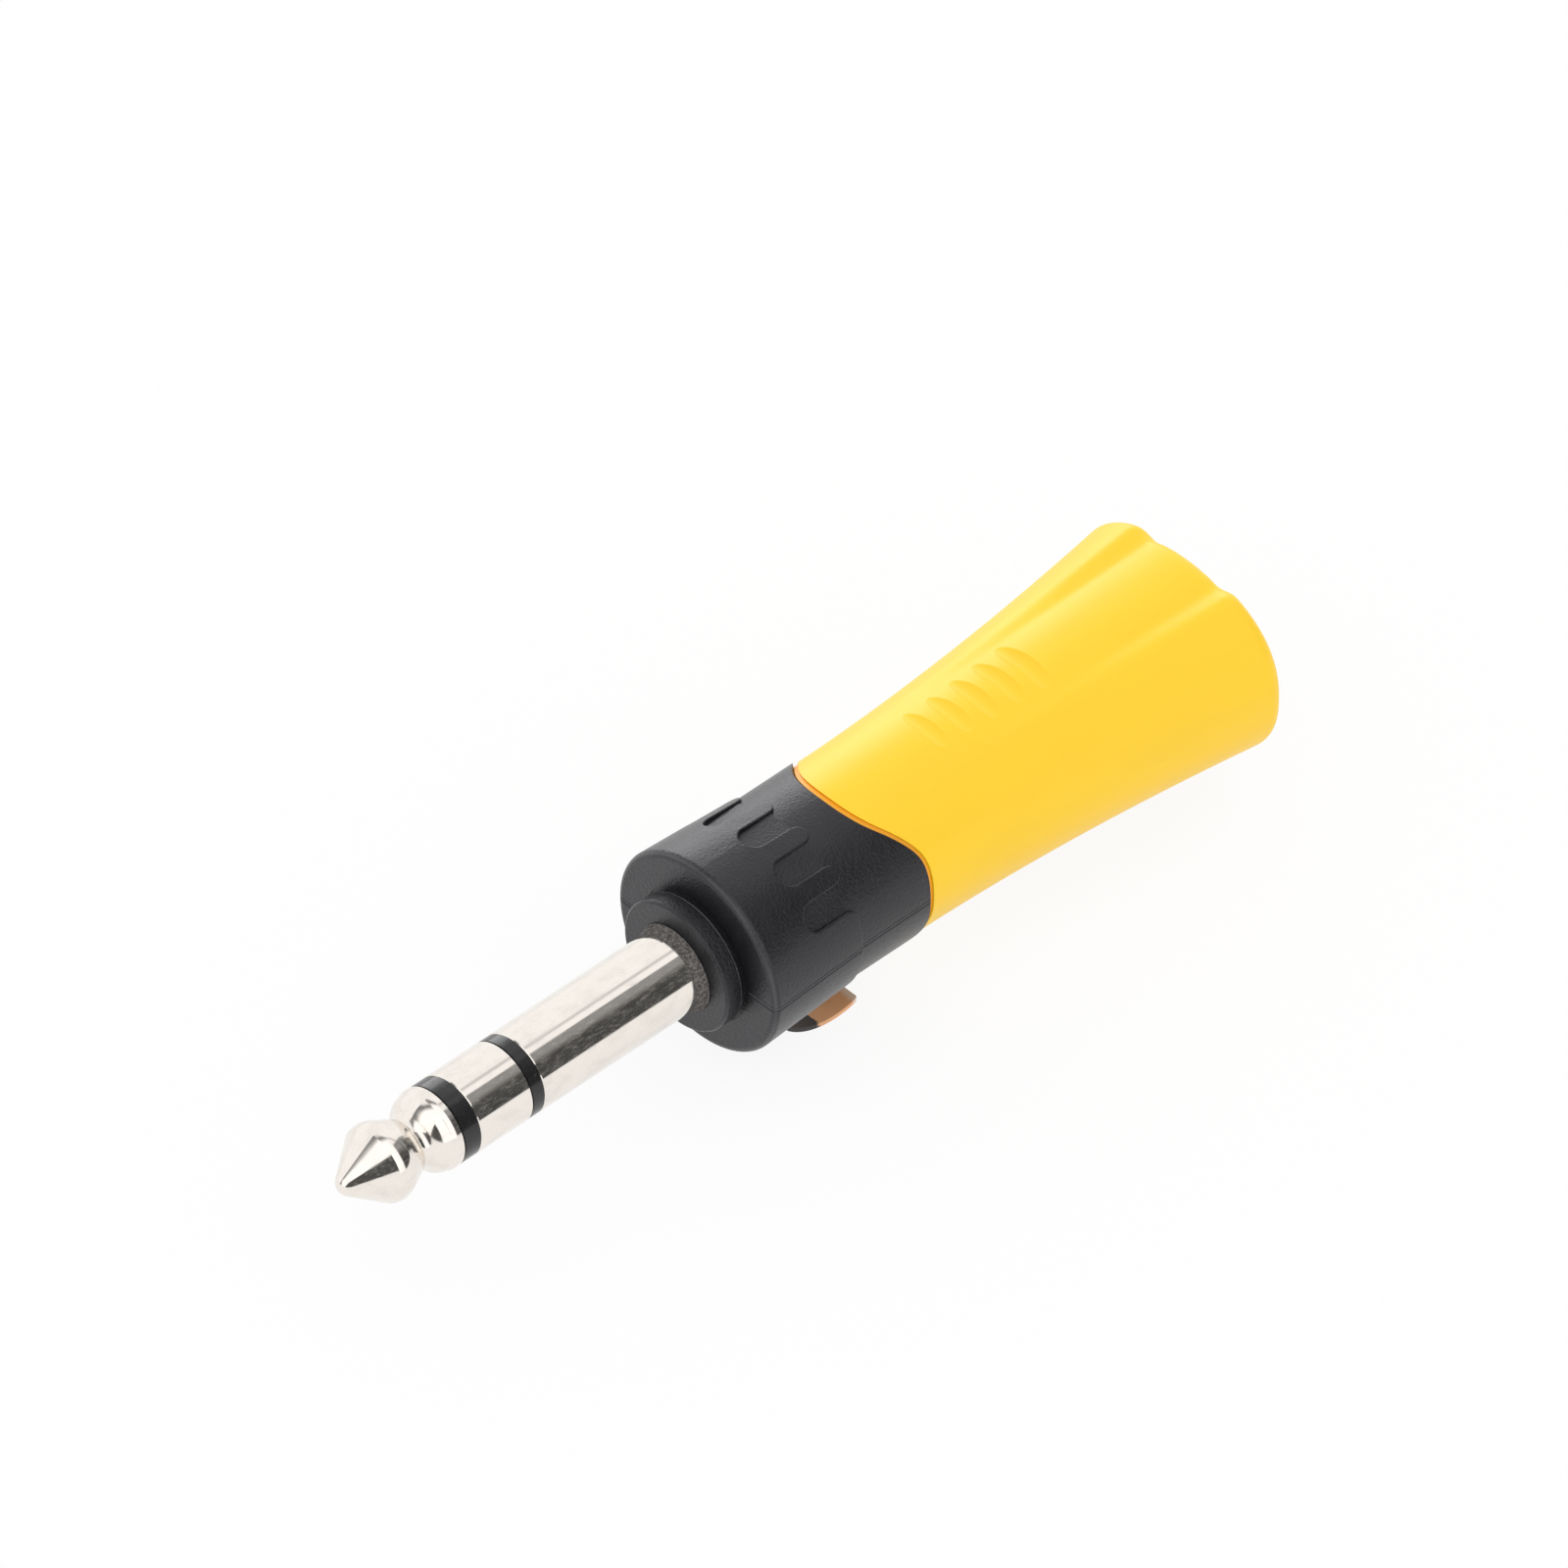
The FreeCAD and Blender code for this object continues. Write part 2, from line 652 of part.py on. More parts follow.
def tail_shell():
    """Flared tail with two grip panels, crescent scoops, front lip and bell mouth."""
    solid = tail_blank()
    scoops = []
    for index in range(scoop_count):
        scoop = scoop_cutter(index)
        scoops += [scoop, around(scoop, 180)]
    solid = solid.cut(scoops)
    solid = solid.cut(wave_block(-joint_gap, reach))
    start = -joint_x + 2 * joint_wave
    lip = tube(start, -tail_flare_x - 2 * joint_wave, reach / 2, tail_front_r - lip_depth)
    lip = lip.common(wave_block(-joint_gap - lip_len, reach))
    solid = solid.cut([lip, tail_bore()])
    return solid


def cable_chuck():
    """Slotted clamping chuck that the tail presses on the cable."""
    bore_r = cable_r + chuck_bore_gap
    solid = turned(
        (chuck_x, bore_r),
        (chuck_x, spigot_r),
        (chuck_x - chuck_ring_len, spigot_r),
        (chuck_end_x, chuck_rear_r),
        (chuck_end_x, bore_r),
    )
    slots = []
    for index in range(chuck_slot_count):
        slot = box(chuck_x - chuck_ring_len, chuck_end_x, -chuck_slot / 2, chuck_slot / 2, 0, reach)
        slots.append(around(slot, index * 360.0 / chuck_slot_count))
    return solid.cut(slots)


def cable_seal():
    """Rubber ring round the cable, behind the chuck."""
    return tube(seal_front_x, seal_end_x, cable_seal_r, cable_r)


def leaf_sector(r_out, r_in, x_front, width):
    """Part of the leaf's bow between a front plane and the free end."""
    centre = FreeCAD.Vector(leaf_centre_x, -width / 2, leaf_centre_z)
    bow = Part.makeCylinder(r_out, width, centre, Y_AXIS)
    bow = bow.cut(Part.makeCylinder(r_in, width, centre, Y_AXIS))
    end = leaf_centre_x - leaf_tail_len
    return bow.common(box(x_front, end, -width, width, leaf_centre_z, -reach))


def latch_leaf():
    """Bowed spring leaf with a narrow neck and a rolled eye."""
    inner_r = leaf_bend_r - leaf_t
    wide = leaf_sector(leaf_bend_r, inner_r, -leaf_neck_x, leaf_width)
    end = leaf_centre_x - leaf_tail_len
    corners = [edge for edge in wide.Edges
               if abs(edge.BoundBox.XMax - end) < 0.001 and edge.BoundBox.YLength < 0.001]
    wide = wide.makeFillet(leaf_corner_r, corners)
    neck = leaf_sector(leaf_bend_r, inner_r, -pin_x, eye_width)
    start = FreeCAD.Vector(-pin_x, -eye_width / 2, pin_z)
    eye = Part.makeCylinder(eye_r, eye_width, start, Y_AXIS)
    bore = Part.makeCylinder(pin_d / 2 + fit_gap, eye_width, start, Y_AXIS)
    return wide.fuse([neck, eye]).cut(bore).removeSplitter()


def latch_pin():
    """Pin that the leaf's eye turns on."""
    return Part.makeCylinder(pin_d / 2, pin_len, FreeCAD.Vector(-pin_x, -pin_len / 2, pin_z), Y_AXIS)


def main():
    """Build every piece and write it."""
    os.makedirs("parts", exist_ok=True)
    washer_r = lug_washer_d / 2
    pieces = {
        "tip_contact": tip_contact(),
        "centre_rod": centre_rod(),
        "rod_tube": rod_tube(),
        "front_insulator": front_insulator(),
        "ring_contact": ring_contact(),
        "ring_tube": ring_tube(),
        "rear_insulator": rear_insulator(),
        "sleeve_contact": sleeve_contact(),
        "sleeve_collar": sleeve_collar(),
        "head_shell": head_shell(),
        "joint_seal": joint_seal(),
        "lock_washer": lock_washer(),
        "lock_nut": lock_nut(),
        "sleeve_lug": sleeve_lug(),
        "lug_washer_front": tube(front_washer_x, ring_lug_x, washer_r, ring_stem_out + fit_gap),
        "ring_lug": lug(ring_lug_x, ring_lug_d / 2, ring_stem_out + fit_gap, 90),
        "lug_washer_rear": tube(rear_washer_x, tip_lug_x, washer_r, rod_r + fit_gap),
        "tip_lug": lug(tip_lug_x, washer_r, rod_r + fit_gap, 0),
        "lining_tube": lining_tube(),
        "cable_chuck": cable_chuck(),
        "cable_seal": cable_seal(),
        "tail_shell": tail_shell(),
        "latch_leaf": latch_leaf(),
        "latch_pin": latch_pin(),
    }
    for name, solid in pieces.items():
        save(name, solid)
        print(name, round(solid.Volume, 3))


main()
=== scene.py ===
"""Finishes, collar and studio for a cable jack plug with a moulded head and a flared tail."""

import math

import bpy
from bpy.props import FloatProperty, FloatVectorProperty, IntProperty, PointerProperty
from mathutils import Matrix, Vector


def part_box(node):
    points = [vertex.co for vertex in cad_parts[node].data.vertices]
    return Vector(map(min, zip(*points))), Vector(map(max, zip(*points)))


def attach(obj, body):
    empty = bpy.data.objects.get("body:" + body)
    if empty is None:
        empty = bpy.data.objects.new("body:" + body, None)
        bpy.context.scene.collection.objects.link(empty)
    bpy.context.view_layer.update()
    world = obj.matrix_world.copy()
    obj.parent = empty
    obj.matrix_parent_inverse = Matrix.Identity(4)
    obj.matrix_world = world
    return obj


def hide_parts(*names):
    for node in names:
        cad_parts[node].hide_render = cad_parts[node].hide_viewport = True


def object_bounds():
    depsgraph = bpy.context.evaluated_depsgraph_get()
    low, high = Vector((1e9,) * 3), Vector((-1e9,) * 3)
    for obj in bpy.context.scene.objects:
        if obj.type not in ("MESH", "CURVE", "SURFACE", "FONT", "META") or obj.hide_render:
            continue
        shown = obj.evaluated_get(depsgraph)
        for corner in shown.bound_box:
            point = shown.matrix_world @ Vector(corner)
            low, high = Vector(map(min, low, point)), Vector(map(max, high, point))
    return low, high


bl_info = {
    "name": "Jack connector",
    "version": (1, 0, 0),
    "blender": (4, 5, 0),
    "location": "View3D > Sidebar > Jack",
    "description": "Finishes the pieces of a cable jack plug and sets up its studio",
    "category": "Object",
}

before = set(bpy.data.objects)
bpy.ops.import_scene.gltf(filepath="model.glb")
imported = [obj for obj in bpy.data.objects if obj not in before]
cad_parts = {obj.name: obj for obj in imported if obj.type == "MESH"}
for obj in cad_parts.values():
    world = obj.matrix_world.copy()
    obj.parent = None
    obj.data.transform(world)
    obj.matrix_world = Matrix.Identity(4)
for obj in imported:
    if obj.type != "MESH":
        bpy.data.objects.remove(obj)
CAD_BOX = [list(corner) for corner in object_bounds()]
MM = 0.001


def colour(name, description, default):
    """Colour setting of a property group."""
    return FloatVectorProperty(name=name, description=description, default=default,
                               subtype="COLOR", size=3, min=0.0, max=1.0)


def length(name, description, millimetres):
    """Length setting of a property group, given in millimetres."""
    return FloatProperty(name=name, description=description, default=millimetres * MM,
                         unit="LENGTH", precision=5)


def share(name, description, default):
    """Setting of a property group between 0 and 1."""
    return FloatProperty(name=name, description=description, default=default,
                         min=0.0, max=1.0, subtype="FACTOR")


class ContactLooks(bpy.types.PropertyGroup):
    """Nickel-plated contacts and the black bands between them."""

    nickel: colour("Nickel", "Colour of the plated contacts", (0.87, 0.82, 0.76))
    nickel_worn: colour("Worn nickel", "Colour where the plating is handled", (0.74, 0.70, 0.65))
    polish: share("Polish", "Roughness of clean plating", 0.075)
    turning: length("Turning marks", "Height of the fine rings left by turning", 0.0004)
    rubbing: length("Rub marks", "Height of the marks that run along the plug", 0.0006)
    band: colour("Bands", "Colour of the insulating bands", (0.012, 0.012, 0.013))


class CollarLooks(bpy.types.PropertyGroup):
    """Rough ring between the sleeve and the head."""

    metal: colour("Metal", "Colour of the bare high spots", (0.23, 0.21, 0.195))
    pits: colour("Pits", "Colour of the hollows", (0.08, 0.074, 0.069))
    roughness_height: length("Roughness", "Height of the cast surface", 0.07)
    segments: IntProperty(name="Segments", description="Facets round the ring", default=288)


class HeadLooks(bpy.types.PropertyGroup):
    """Black moulded head."""

    plastic: colour("Plastic", "Colour of the moulding", (0.007, 0.007, 0.009))
    # Painted highlight: this lighter colour on the boss's rear edge and the face's outer edge
    # stands in for the light those edges catch.
    edge_highlight: colour("Worn edge", "Colour of the rubbed edges", (0.16, 0.16, 0.165))
    matt: share("Matt", "Roughness of the moulding", 0.33)
    grain: length("Grain", "Height of the moulded grain", 0.045)
    seam: length("Seam", "Height of the line where the mould's halves met", 0.05)


class TailLooks(bpy.types.PropertyGroup):
    """Yellow moulded tail."""

    plastic: colour("Plastic", "Colour of the moulding", (1.0, 0.632, 0.012))
    # Painted shade: this darker orange for the sunk band next to the head stands in for the shade
    # in its step.
    shaded_lip: colour("Lip", "Colour of the thin lip next to the head", (1.0, 0.43, 0.010))
    satin: share("Satin", "Roughness of the moulding", 0.40)
    grain: length("Grain", "Height of the moulded grain", 0.003)


class LatchLooks(bpy.types.PropertyGroup):
    """Spring leaf under the head."""

    copper: colour("Copper", "Colour of the leaf", (0.98, 0.53, 0.27))
    # Painted shade: the dark colour of the leaf's front stands in for the shadow under the head.
    front_shade: colour("Blackened", "Colour of the leaf's front", (0.03, 0.027, 0.026))
    # Painted highlight: this pale colour of the free end stands in for the light the end catches.
    tip: colour("Worn tip", "Colour of the rubbed free end", (0.96, 0.78, 0.62))


class TerminalLooks(bpy.types.PropertyGroup):
    """Pieces inside the head and the tail."""

    brass: colour("Brass", "Colour of the rod", (0.78, 0.58, 0.26))
    tin: colour("Tin", "Colour of the lugs, nut, washer and latch pin", (0.70, 0.69, 0.66))
    liner: colour("Liner", "Colour of the insulating tubes and washers", (0.82, 0.80, 0.73))
    chuck: colour("Chuck", "Colour of the clamping chuck", (0.20, 0.20, 0.21))
    rubber: colour("Rubber", "Colour of the seals", (0.03, 0.03, 0.032))


class StageLooks(bpy.types.PropertyGroup):
    """Floor, light and camera."""

    floor: colour("Floor", "Colour of the floor", (0.93, 0.93, 0.93))
    backlight: share("Backlight", "How much the floor glows by itself, as a light table", 0.9)
    mirrored: share("Mirrored glow", "The same, as it shows in reflections", 0.8)
    room: FloatProperty(name="Room", description="Strength of the light from all round",
                        default=1.05, min=0.0)
    key: FloatProperty(name="Key", description="Power of the large soft lamp behind the part",
                       default=1.25, min=0.0, unit="POWER")
    azimuth: FloatProperty(name="Azimuth", description="Camera's direction round the part",
                           default=math.radians(46.52), subtype="ANGLE")
    elevation: FloatProperty(name="Elevation", description="Camera's height over the floor",
                             default=math.radians(43.95), subtype="ANGLE")
    distance: length("Distance", "From the camera to the part", 4955.0)
    lens: FloatProperty(name="Lens", description="Focal length", default=1650.0,
                        subtype="DISTANCE_CAMERA")


class Signal:
    """A socket whose value a shader works out, with Python's own operators."""

    def __init__(self, paint, socket):
        self.paint = paint
        self.socket = socket

    def math(self, operation, *others):
        """Maths node that starts from this value."""
        return self.paint.number(operation, self, *others)

    def __add__(self, other):
        return self.math("ADD", other)

    def __sub__(self, other):
        return self.math("SUBTRACT", other)

    def __rsub__(self, other):
        return self.paint.number("SUBTRACT", other, self)

    def __mul__(self, other):
        return self.math("MULTIPLY", other)

    def __truediv__(self, other):
        return self.math("DIVIDE", other)

    __radd__ = __add__
    __rmul__ = __mul__

    def hump(self, half_width):
        """1 where the value is 0, falling smoothly to 0 at a distance."""
        return 1 - self.math("ABSOLUTE").rise(0.0, half_width)

    def rise(self, low, high):
        """0 below low, 1 above high, smooth between them."""
        node = self.paint.node("ShaderNodeMapRange", {"interpolation_type": "SMOOTHSTEP"},
                               {"Value": self, "From Min": low, "From Max": high})
        return Signal(self.paint, node.outputs[0])


class Paint:
    """Nodes of one material or of the world."""

    def __init__(self, tree):
        self.tree = tree

    def node(self, kind, settings, sockets):
        """Add a node, set it up, then fill its sockets with values or links."""
        node = self.tree.nodes.new(kind)
        for name, value in settings.items():
            setattr(node, name, value)
        self.fill(node, sockets)
        return node

    def fill(self, node, sockets):
        """Set or link sockets, named or in their order."""
        open_sockets = [socket for socket in node.inputs if socket.enabled]
        pairs = sockets.items() if isinstance(sockets, dict) else enumerate(sockets)
        for key, value in pairs:
            if isinstance(key, int):
                socket = open_sockets[key]
            else:
                socket = next(one for one in open_sockets if one.name == key)
            if isinstance(value, Signal):
                self.tree.links.new(value.socket, socket)
            else:
                socket.default_value = value

    def number(self, operation, *values):
        """Maths node on values or signals."""
        node = self.node("ShaderNodeMath", {"operation": operation}, values)
        return Signal(self, node.outputs[0])

    def place(self, stretch=(1.0, 1.0, 1.0)):
        """Position on the piece in millimetres, stretched along the axes."""
        source = self.node("ShaderNodeTexCoord", {}, {})
        scale = [value / MM for value in stretch]
        node = self.node("ShaderNodeMapping", {},
                         {"Vector": Signal(self, source.outputs["Object"]), "Scale": scale})
        return Signal(self, node.outputs[0])

    def axes(self, vector):
        """The three parts of a vector."""
        node = self.node("ShaderNodeSeparateXYZ", {}, [vector])
        return [Signal(self, output) for output in node.outputs]

    def noise(self, stretch, detail=2.0, soft=0.5, distortion=0.0):
        """Cloudy pattern from 0 to 1. The stretch is in patches per millimetre."""
        node = self.node("ShaderNodeTexNoise", {}, {
            "Vector": self.place(stretch), "Scale": 1.0, "Detail": detail,
            "Roughness": soft, "Distortion": distortion})
        return Signal(self, node.outputs[0])

    def mix(self, first, second, factor):
        """Colour between two colours."""
        node = self.node("ShaderNodeMix", {"data_type": "RGBA"}, {
            "Factor": factor, "A": self.rgba(first), "B": self.rgba(second)})
        return Signal(self, next(output for output in node.outputs if output.enabled))

    def relief(self, height):
        """Surface direction for a height in millimetres."""
        node = self.node("ShaderNodeBump", {}, {"Distance": MM, "Height": height})
        return Signal(self, node.outputs[0])

    def rays(self):
        """1 for what the camera sees itself, and 1 for what is seen by reflection, else 0."""
        node = self.node("ShaderNodeLightPath", {}, {})
        return [Signal(self, node.outputs[name]) for name in ("Is Camera Ray", "Is Glossy Ray")]

    @staticmethod
    def rgba(value):
        """Colour with an alpha, or the signal as it is."""
        return value if isinstance(value, Signal) else (*value, 1.0)


def finish(name, shader_values):
    """New material; shader_values(paint) gives the sockets of its one shader."""
    material = bpy.data.materials.new(name)
    material.use_nodes = True
    paint = Paint(material.node_tree)
    shader = material.node_tree.nodes["Principled BSDF"]
    values = {key: paint.rgba(value) if key.endswith("Color") else value
              for key, value in shader_values(paint).items()}
    paint.fill(shader, values)
    return material


def dress(material, *nodes):
    """Give CAD nodes one material."""
    for name in nodes:
        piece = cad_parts[name]
        piece.data.materials.clear()
        piece.data.materials.append(material)


class JackOperator(bpy.types.Operator):
    """Base of the steps that build this scene."""

    bl_options = {"REGISTER", "UNDO"}

    def execute(self, context):
        self.make(context.scene)
        return {"FINISHED"}


class FinishContacts(JackOperator):
    """Plate the tip, the ring and the sleeve with bright, lightly rubbed nickel"""

    bl_idname = "jack.finish_contacts"
    bl_label = "Contacts"

    def make(self, scene):
        looks = scene.jack_contacts

        def nickel(paint):
            rings = paint.noise((14.0, 0.25, 0.25), detail=3.0)
            rubs = paint.noise((0.22, 3.2, 3.2), detail=4.0, soft=0.6)
            patches = paint.noise((0.5, 0.9, 0.9), detail=5.0, soft=0.62).rise(0.42, 0.72)
            streaks = rubs.rise(0.48, 0.74)
            scuffs = paint.noise((1.3, 5.0, 5.0), detail=5.0, soft=0.7).rise(0.45, 0.75)
            height = rings * (looks.turning / MM) + rubs * (looks.rubbing / MM)
            return {
                "Base Color": paint.mix(looks.nickel, looks.nickel_worn, patches * 0.6),
                "Metallic": 1 - scuffs * 0.16,
                "Roughness": looks.polish + patches * 0.08 + streaks * 0.05,
                "Normal": paint.relief(height),
            }

        dress(finish("nickel_plating", nickel), "tip_contact", "ring_contact", "sleeve_contact")


class FinishBands(JackOperator):
    """Give the two insulating bands smooth black plastic"""

    bl_idname = "jack.finish_bands"
    bl_label = "Insulating bands"

    def make(self, scene):
        looks = scene.jack_contacts
        dusty = (0.05, 0.05, 0.05)

        def black(paint):
            rings = paint.noise((9.0, 0.3, 0.3))
            dust = paint.noise((2.4, 2.4, 2.4), detail=4.0).rise(0.55, 0.8)
            return {
                "Base Color": paint.mix(looks.band, dusty, dust * 0.4),
                "Roughness": 0.20 + dust * 0.2,
                "Normal": paint.relief(rings * 0.003),
            }

        dress(finish("band_plastic", black), "front_insulator", "rear_insulator")


class BuildCollar(JackOperator):
    """Model the rough cast ring between the sleeve and the head"""

    bl_idname = "jack.build_collar"
    bl_label = "Collar"

    def make(self, scene):
        looks = scene.jack_collar
        low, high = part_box("sleeve_collar")
        end_gap = 0.02 * MM     # to the ends of the CAD ring
        lump_room = 0.06 * MM   # under the outside of the CAD ring, for the lumps
        shank_r = 2.95 * MM     # thin part of the sleeve, inside the ring
        face_r = 3.19 * MM      # the ring's front edge
        swell = 1.35            # above 1, the ring widens faster towards its rear
        weld = 0.0005 * MM      # points nearer to one another than this become one
        steps = 14
        front = high[0] - end_gap
        rear = low[0] + end_gap
        outer = high[1] - lump_room
        bpy.ops.object.select_all(action="DESELECT")
        bpy.ops.mesh.primitive_circle_add(
            vertices=looks.segments, radius=shank_r, location=(front, 0, 0),
            rotation=(0, math.pi / 2, 0))
        collar = bpy.context.object
        collar.name = "cast_collar"
        bpy.ops.object.mode_set(mode="EDIT")
        bpy.ops.mesh.select_all(action="SELECT")
        profile = [(front, face_r)]
        for index in range(1, steps + 1):
            part = index / steps
            radius = face_r + (outer - face_r) * part ** swell
            profile.append((front + (rear - front) * part, radius))
        profile.append((rear, shank_r))
        here = (front, shank_r)
        for x, radius in profile:
            scale = radius / here[1]
            bpy.ops.mesh.extrude_region_move(
                TRANSFORM_OT_translate={"value": (x - here[0], 0, 0)})
            bpy.ops.transform.resize(value=(1, scale, scale))
            here = (x, radius)
        bpy.ops.mesh.select_all(action="SELECT")
        bpy.ops.mesh.remove_doubles(threshold=weld)
        bpy.ops.mesh.select_all(action="DESELECT")
        bpy.ops.mesh.select_non_manifold()
        bpy.ops.mesh.bridge_edge_loops()
        bpy.ops.mesh.select_all(action="SELECT")
        bpy.ops.mesh.normals_make_consistent(inside=False)
        bpy.ops.object.mode_set(mode="OBJECT")
        bpy.ops.object.transform_apply(location=True, rotation=True, scale=True)
        # The skin is everything but the bore.
        skin = collar.vertex_groups.new(name="skin")
        for vertex in collar.data.vertices:
            radius = math.hypot(vertex.co.y, vertex.co.z)
            if radius > face_r - 0.01 * MM:
                skin.add([vertex.index], 1.0, "REPLACE")
        # Parts of the pattern under the middle level sink, so most of the skin does.
        for name, size, height in (("lumps", 0.35, 1.0), ("specks", 0.12, 0.5)):
            clouds = bpy.data.textures.new(name, "CLOUDS")
            clouds.noise_scale = size * MM
            clouds.noise_depth = 2
            rough = collar.modifiers.new(name, "DISPLACE")
            rough.texture = clouds
            rough.texture_coords = "LOCAL"
            rough.strength = looks.roughness_height * height
            rough.mid_level = 0.75
            rough.vertex_group = "skin"
            bpy.ops.object.modifier_apply(modifier=name)
        bpy.ops.object.shade_smooth()

        def cast(paint):
            lumps = paint.noise((5.0, 5.0, 5.0), detail=5.0, soft=0.65)
            wear_and_highlight = lumps.rise(0.38, 0.68)
            return {
                "Base Color": paint.mix(looks.pits, looks.metal, wear_and_highlight),
                "Metallic": 0.5,
                "Roughness": 0.70 - wear_and_highlight * 0.2,
                "Normal": paint.relief(lumps * 0.05),
            }

        collar.data.materials.append(finish("cast_metal", cast))
        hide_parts("sleeve_collar")
        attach(collar, "connector")


class FinishHead(JackOperator):
    """Give the head matt black plastic with grain and the lines of its mould"""

    bl_idname = "jack.finish_head"
    bl_label = "Head"

    def make(self, scene):
        looks = scene.jack_head

        def plastic(paint):
            x, y, z = paint.axes(paint.place())
            grain = paint.noise((4.5, 4.5, 4.5), detail=3.0, soft=0.6)
            swirl = paint.noise((0.35, 0.35, 0.35), detail=3.0, distortion=0.6)
            specks = paint.noise((3.2, 3.2, 3.2), detail=2.0).rise(0.64, 0.72)
            # The mould's line runs along both sides at z = 0, on the head but not on its boss.
            outside = (y * y).rise(26.0, 28.0) * (1 - x.rise(-2.6, -2.4))
            seam = z.hump(0.12) * outside
            groove = (z + 0.17).hump(0.13) * outside
            # Painted highlights: the boss's rear edge and the outer edge of the head's face are
            # coloured lighter, standing in for the light these edges catch.
            radius = (y * y + z * z).math("SQRT")
            boss_edge_highlight = (x + 2.38).hump(0.09) * radius.rise(5.05, 5.15)
            rim_highlight = (x + 3.1).hump(0.2) * radius.rise(7.6, 7.8)
            wear_and_highlight = boss_edge_highlight + rim_highlight * swirl * 0.5
            height = grain * (looks.grain / MM) + (seam - groove) * (looks.seam / MM)
            # Painted highlight: the seam's share of the lighter tone stands in for the light its
            # raised edge catches; the swirl and the specks are the moulding's own tone and dust.
            tone = swirl.rise(0.3, 0.7) * 0.3 + specks * 0.7 + seam * 0.4
            lighter = [value * 2.4 for value in looks.plastic]
            moulded = paint.mix(looks.plastic, lighter, tone)
            return {
                "Base Color": paint.mix(moulded, looks.edge_highlight, wear_and_highlight),
                "Specular IOR Level": 0.55,
                "Specular Tint": (0.96, 0.96, 1.0, 1.0),
                "Sheen Weight": 0.03,
                "Sheen Roughness": 0.35,
                "Roughness": (looks.matt + (grain - 0.5) * 0.12 + (swirl - 0.5) * 0.12
                              + groove * 0.4),
                "Normal": paint.relief(height),
            }

        dress(finish("head_plastic", plastic), "head_shell")


class FinishTail(JackOperator):
    """Give the tail satin yellow plastic with painted shade on the sunk band next to the head"""

    bl_idname = "jack.finish_tail"
    bl_label = "Tail"

    def make(self, scene):
        looks = scene.jack_tail

        def plastic(paint):
            x, y, z = paint.axes(paint.place())
            radius = (y * y + z * z).math("SQRT")
            # The mask covers the narrow sunk band at the tail's front; its darker colour is painted
            # shade in the step next to the head.
            shaded_lip = x.rise(-20.5, -20.2) * (1 - radius.rise(7.05, 7.12))
            grain = paint.noise((5.0, 5.0, 5.0), detail=2.0)
            flow = paint.noise((0.10, 0.28, 0.28), detail=3.0, distortion=0.4)
            deeper = [value * 0.98 for value in looks.plastic]
            body = paint.mix(looks.plastic, deeper, flow.rise(0.35, 0.7))
            return {
                "Base Color": paint.mix(body, looks.shaded_lip, shaded_lip),
                "Roughness": looks.satin + (flow - 0.5) * 0.08 + (grain - 0.5) * 0.06,
                "Normal": paint.relief(grain * (looks.grain / MM)),
            }

        dress(finish("tail_plastic", plastic), "tail_shell")


class FinishLatch(JackOperator):
    """Give the spring leaf copper-coloured metal, with painted shade at the front and a painted
    highlight on the free end
    """

    bl_idname = "jack.finish_latch"
    bl_label = "Latch"

    def make(self, scene):
        looks = scene.jack_latch

        def copper(paint):
            x = paint.axes(paint.place())[0]
            rolled = paint.noise((0.5, 7.0, 0.5), detail=3.0)
            stain = paint.noise((0.9, 0.9, 0.9), detail=4.0)
            # Both borders are ragged: the darker front is painted shade under the head, and the
            # paler free end is a painted highlight.
            dark = (x + stain * 0.8).rise(-10.3, -10.1)
            tip = 1 - (x + stain * 0.5).rise(-13.9, -13.4)
            metal = paint.mix(looks.copper, [value * 0.85 for value in looks.copper], stain)
            metal = paint.mix(metal, looks.tip, tip)
            return {
                "Base Color": paint.mix(metal, looks.front_shade, dark),
                "Metallic": 0.25,
                "Roughness": 0.44 + rolled * 0.10,
                "Normal": paint.relief(rolled * 0.004),
            }

        dress(finish("leaf_copper", copper), "latch_leaf")


def plain(name, tone, roughness, metallic, stretch, height):
    """Simple finish of a hidden piece: toned colour, uneven gloss and a fine grain."""

    def values(paint):
        grain = paint.noise(stretch, detail=3.0)
        clouds = paint.noise((0.6, 0.6, 0.6), detail=3.0)
        return {
            "Base Color": paint.mix(tone, [value * 0.72 for value in tone], clouds),
            "Metallic": metallic,
            "Roughness": roughness + (grain - 0.5) * 0.2,
            "Normal": paint.relief(grain * height),
        }

    return finish(name, values)


class FinishTerminals(JackOperator):
    """Give the pieces inside the head and the tail their metals, liners and rubbers"""

    bl_idname = "jack.finish_terminals"
    bl_label = "Inner pieces"

    def make(self, scene):
        looks = scene.jack_terminals
        turned = (9.0, 0.4, 0.4)
        dress(plain("turned_brass", looks.brass, 0.28, 1.0, turned, 0.003), "centre_rod")
        dress(plain("tinned_sheet", looks.tin, 0.34, 1.0, (2.5, 2.5, 2.5), 0.004),
              "lock_washer", "lock_nut", "sleeve_lug", "ring_lug", "tip_lug", "latch_pin")
        dress(plain("liner_plastic", looks.liner, 0.55, 0.0, (3.0, 3.0, 3.0), 0.004),
              "rod_tube", "ring_tube", "lug_washer_front", "lug_washer_rear", "lining_tube")
        dress(plain("chuck_plastic", looks.chuck, 0.50, 0.0, (4.0, 4.0, 4.0), 0.005), "cable_chuck")
        dress(plain("seal_rubber", looks.rubber, 0.62, 0.0, (5.0, 5.0, 5.0), 0.006),
              "joint_seal", "cable_seal")


